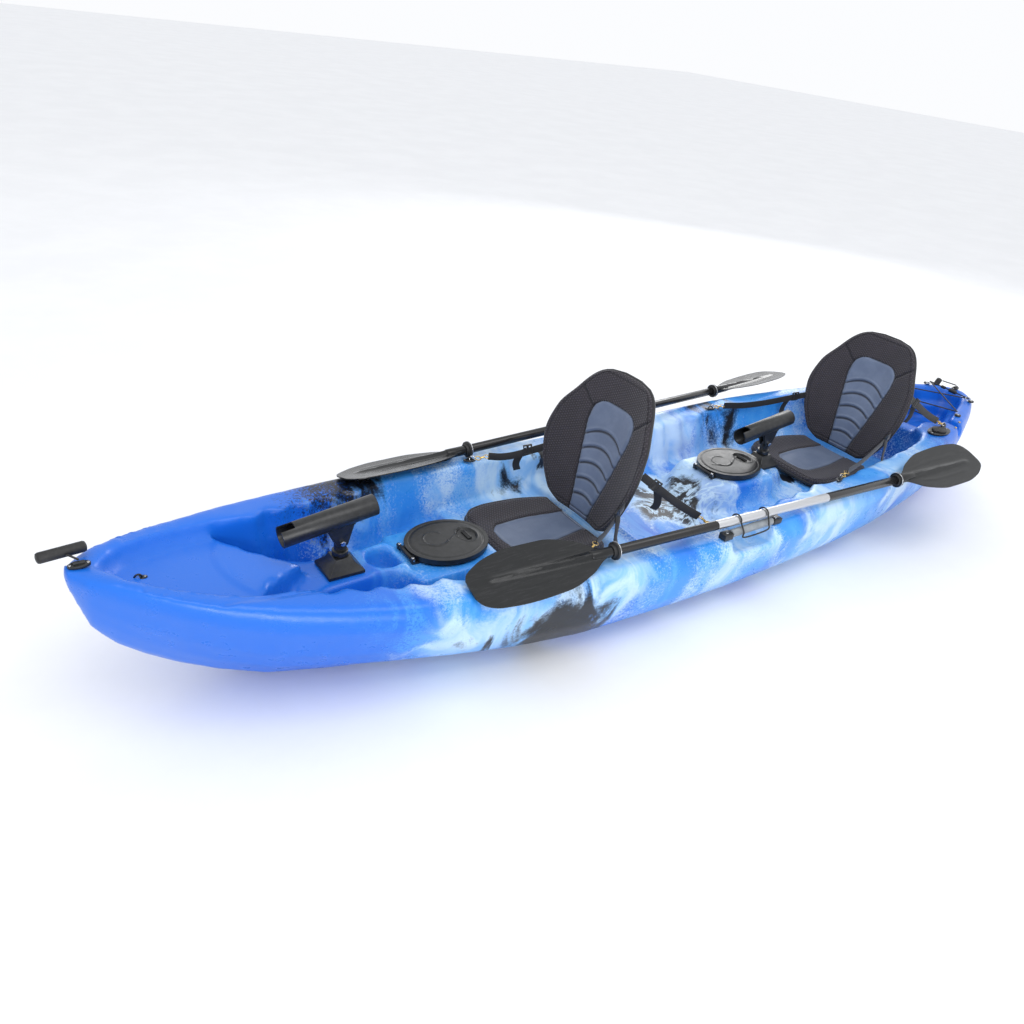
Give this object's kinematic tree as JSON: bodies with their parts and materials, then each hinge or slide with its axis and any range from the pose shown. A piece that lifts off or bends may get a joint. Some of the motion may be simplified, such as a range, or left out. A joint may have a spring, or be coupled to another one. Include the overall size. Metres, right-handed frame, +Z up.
{
  "type": "sit-on-top tandem fishing kayak",
  "caption": "Moulded sit-on-top kayak with padded seats, tank well, console, round-nosed hatches, swivelling and flush rod holders, carry handles and double-bladed paddles on its rims.",
  "frame": {"origin": "on the keel line, half-way along the hull, on the surface that the hull stands on", "axes": "+X to the bow along the hull, +Y to port, +Z up"},
  "size_m": [3.7436, 1.0602, 0.6645],
  "materials": {
    "hull_plastic": "semi-gloss moulded polyethylene, royal blue marbled with sky blue, pale cyan and black",
    "black_plastic": "satin black moulded plastic",
    "grip_grey": "grey hard rubber",
    "seat_fabric": "black honeycomb mesh over foam with smooth blue-grey panels",
    "webbing": "woven black webbing",
    "shaft_metal": "satin drawn tube, black near the blades",
    "blade_plastic": "glossy black moulded plastic",
    "rubber": "black rubber",
    "shock_cord": "braided black cord cover",
    "steel": "stainless, lightly brushed"
  },
  "bodies": {
    "hull": {"hull": "hull_plastic", "rear_hatch_frame": "black_plastic", "rear_hatch_pin": "steel", "rear_rod_base": "black_plastic", "rear_seat_base": "seat_fabric", "rear_seat_front_strap_port": "webbing", "rear_seat_front_strap_starboard": "webbing", "rear_seat_back_strap_port": "webbing", "rear_seat_back_strap_starboard": "webbing", "front_hatch_frame": "black_plastic", "front_hatch_pin": "steel", "front_rod_base": "black_plastic", "front_seat_base": "seat_fabric", "front_seat_front_strap_port": "webbing", "front_seat_front_strap_starboard": "webbing", "front_seat_back_strap_port": "webbing", "front_seat_back_strap_starboard": "webbing", "port_flush_holder": "black_plastic", "port_grip_cap_front": "black_plastic", "port_grip_cap_rear": "black_plastic", "port_paddle_keeper": "shock_cord", "starboard_flush_holder": "black_plastic", "starboard_grip_cap_front": "black_plastic", "starboard_grip_cap_rear": "black_plastic", "starboard_paddle_keeper": "shock_cord", "bow_pad_eye": "black_plastic", "stern_pad_eye": "black_plastic", "stern_bungee": "shock_cord"},
    "rear_lid": {"rear_hatch_lid": "black_plastic"},
    "rear_latch": {"rear_hatch_latch": "black_plastic"},
    "rear_post": {"rear_rod_post": "black_plastic"},
    "rear_tube": {"rear_rod_tube": "black_plastic", "rear_rod_bolt": "steel"},
    "rear_back": {"rear_seat_back": "seat_fabric"},
    "front_lid": {"front_hatch_lid": "black_plastic"},
    "front_latch": {"front_hatch_latch": "black_plastic"},
    "front_post": {"front_rod_post": "black_plastic"},
    "front_tube": {"front_rod_tube": "black_plastic", "front_rod_bolt": "steel"},
    "front_back": {"front_seat_back": "seat_fabric"},
    "port_cap": {"port_flush_cap": "rubber"},
    "port_plug": {"port_scupper_plug": "rubber"},
    "port_grip": {"port_side_grip": "grip_grey"},
    "port_paddle": {"port_paddle_shaft": "shaft_metal", "port_drip_ring_bow": "rubber", "port_drip_ring_stern": "rubber", "port_blade_bow": "blade_plastic", "port_blade_stern": "blade_plastic"},
    "starboard_cap": {"starboard_flush_cap": "rubber"},
    "starboard_plug": {"starboard_scupper_plug": "rubber"},
    "starboard_grip": {"starboard_side_grip": "grip_grey"},
    "starboard_paddle": {"starboard_paddle_shaft": "shaft_metal", "starboard_drip_ring_bow": "rubber", "starboard_drip_ring_stern": "rubber", "starboard_blade_bow": "blade_plastic", "starboard_blade_stern": "blade_plastic"},
    "bow_toggle": {"bow_toggle_handle": "rubber", "bow_toggle_cord": "shock_cord"},
    "stern_toggle": {"stern_toggle_handle": "rubber", "stern_toggle_cord": "shock_cord"}
  },
  "joints": [
    {"name": "rear_lid_hinge", "type": "hinge", "parent": "hull", "child": "rear_lid", "pos_m": [-0.1973, 0, 0.253], "axis": [0, 1, 0], "range_deg": [0, 14]},
    {"name": "front_lid_hinge", "type": "hinge", "parent": "hull", "child": "front_lid", "pos_m": [0.9978, 0, 0.235], "axis": [0, 1, 0], "range_deg": [0, 105]},
    {"name": "rear_latch_turn", "type": "hinge", "parent": "rear_lid", "child": "rear_latch", "pos_m": [-0.4013, 0, 0.2608], "axis": [0, -1, 0], "range_deg": [0, 90]},
    {"name": "front_latch_turn", "type": "hinge", "parent": "front_lid", "child": "front_latch", "pos_m": [0.7938, 0, 0.2428], "axis": [0, -1, 0], "range_deg": [0, 90]},
    {"name": "rear_rod_swivel", "type": "hinge", "parent": "hull", "child": "rear_post", "pos_m": [-0.5106, 0, 0.256], "axis": [0, 0, 1], "continuous": true},
    {"name": "rear_rod_tilt", "type": "hinge", "parent": "rear_post", "child": "rear_tube", "pos_m": [-0.5106, 0, 0.306], "axis": [0, -1, 0], "range_deg": [-8, 25]},
    {"name": "front_rod_swivel", "type": "hinge", "parent": "hull", "child": "front_post", "pos_m": [1.1988, 0, 0.28], "axis": [0, 0, 1], "continuous": true},
    {"name": "front_rod_tilt", "type": "hinge", "parent": "front_post", "child": "front_tube", "pos_m": [1.1988, 0, 0.33], "axis": [0, -1, 0], "range_deg": [-8, 45]},
    {"name": "rear_back_tilt", "type": "hinge", "parent": "hull", "child": "rear_back", "pos_m": [-1.0076, 0, 0.188], "axis": [0, 1, 0], "range_deg": [0, 20], "deforming": ["rear_seat_front_strap_port", "rear_seat_front_strap_starboard", "rear_seat_back_strap_port", "rear_seat_back_strap_starboard"]},
    {"name": "front_back_tilt", "type": "hinge", "parent": "hull", "child": "front_back", "pos_m": [0.3614, 0, 0.2], "axis": [0, 1, 0], "range_deg": [0, 20], "deforming": ["front_seat_front_strap_port", "front_seat_front_strap_starboard", "front_seat_back_strap_port", "front_seat_back_strap_starboard"]},
    {"name": "port_cap_hinge", "type": "hinge", "parent": "hull", "child": "port_cap", "pos_m": [-1.3223, 0.2365, 0.3306], "axis": [0, -1, 0], "range_deg": [0, 90]},
    {"name": "port_plug_pull", "type": "slide", "parent": "hull", "child": "port_plug", "axis": [0, 0, 1], "range_m": [0, 0.04]},
    {"name": "port_grip_turn", "type": "hinge", "parent": "hull", "child": "port_grip", "pos_m": [0, 0.388, 0.288], "axis": [1, 0, 0], "continuous": true},
    {"name": "port_paddle_lift", "type": "slide", "parent": "hull", "child": "port_paddle", "axis": [0, 0, 1], "range_m": [0, 0.08], "deforming": ["port_paddle_keeper"]},
    {"name": "starboard_cap_hinge", "type": "hinge", "parent": "hull", "child": "starboard_cap", "pos_m": [-1.3223, -0.2365, 0.3306], "axis": [0, -1, 0], "range_deg": [0, 90]},
    {"name": "starboard_plug_pull", "type": "slide", "parent": "hull", "child": "starboard_plug", "axis": [0, 0, 1], "range_m": [0, 0.04]},
    {"name": "starboard_grip_turn", "type": "hinge", "parent": "hull", "child": "starboard_grip", "pos_m": [0, -0.388, 0.288], "axis": [1, 0, 0], "continuous": true},
    {"name": "starboard_paddle_lift", "type": "slide", "parent": "hull", "child": "starboard_paddle", "axis": [0, 0, 1], "range_m": [0, 0.08], "deforming": ["starboard_paddle_keeper"]},
    {"name": "bow_toggle_swing", "type": "hinge", "parent": "hull", "child": "bow_toggle", "pos_m": [1.8149, 0, 0.447], "axis": [1, 0, 0], "range_deg": [-90, 0]},
    {"name": "stern_toggle_swing", "type": "hinge", "parent": "hull", "child": "stern_toggle", "pos_m": [-1.82225, -0.012, 0.351], "axis": [1, 0, 0], "range_deg": [-100, 0]}
  ]
}
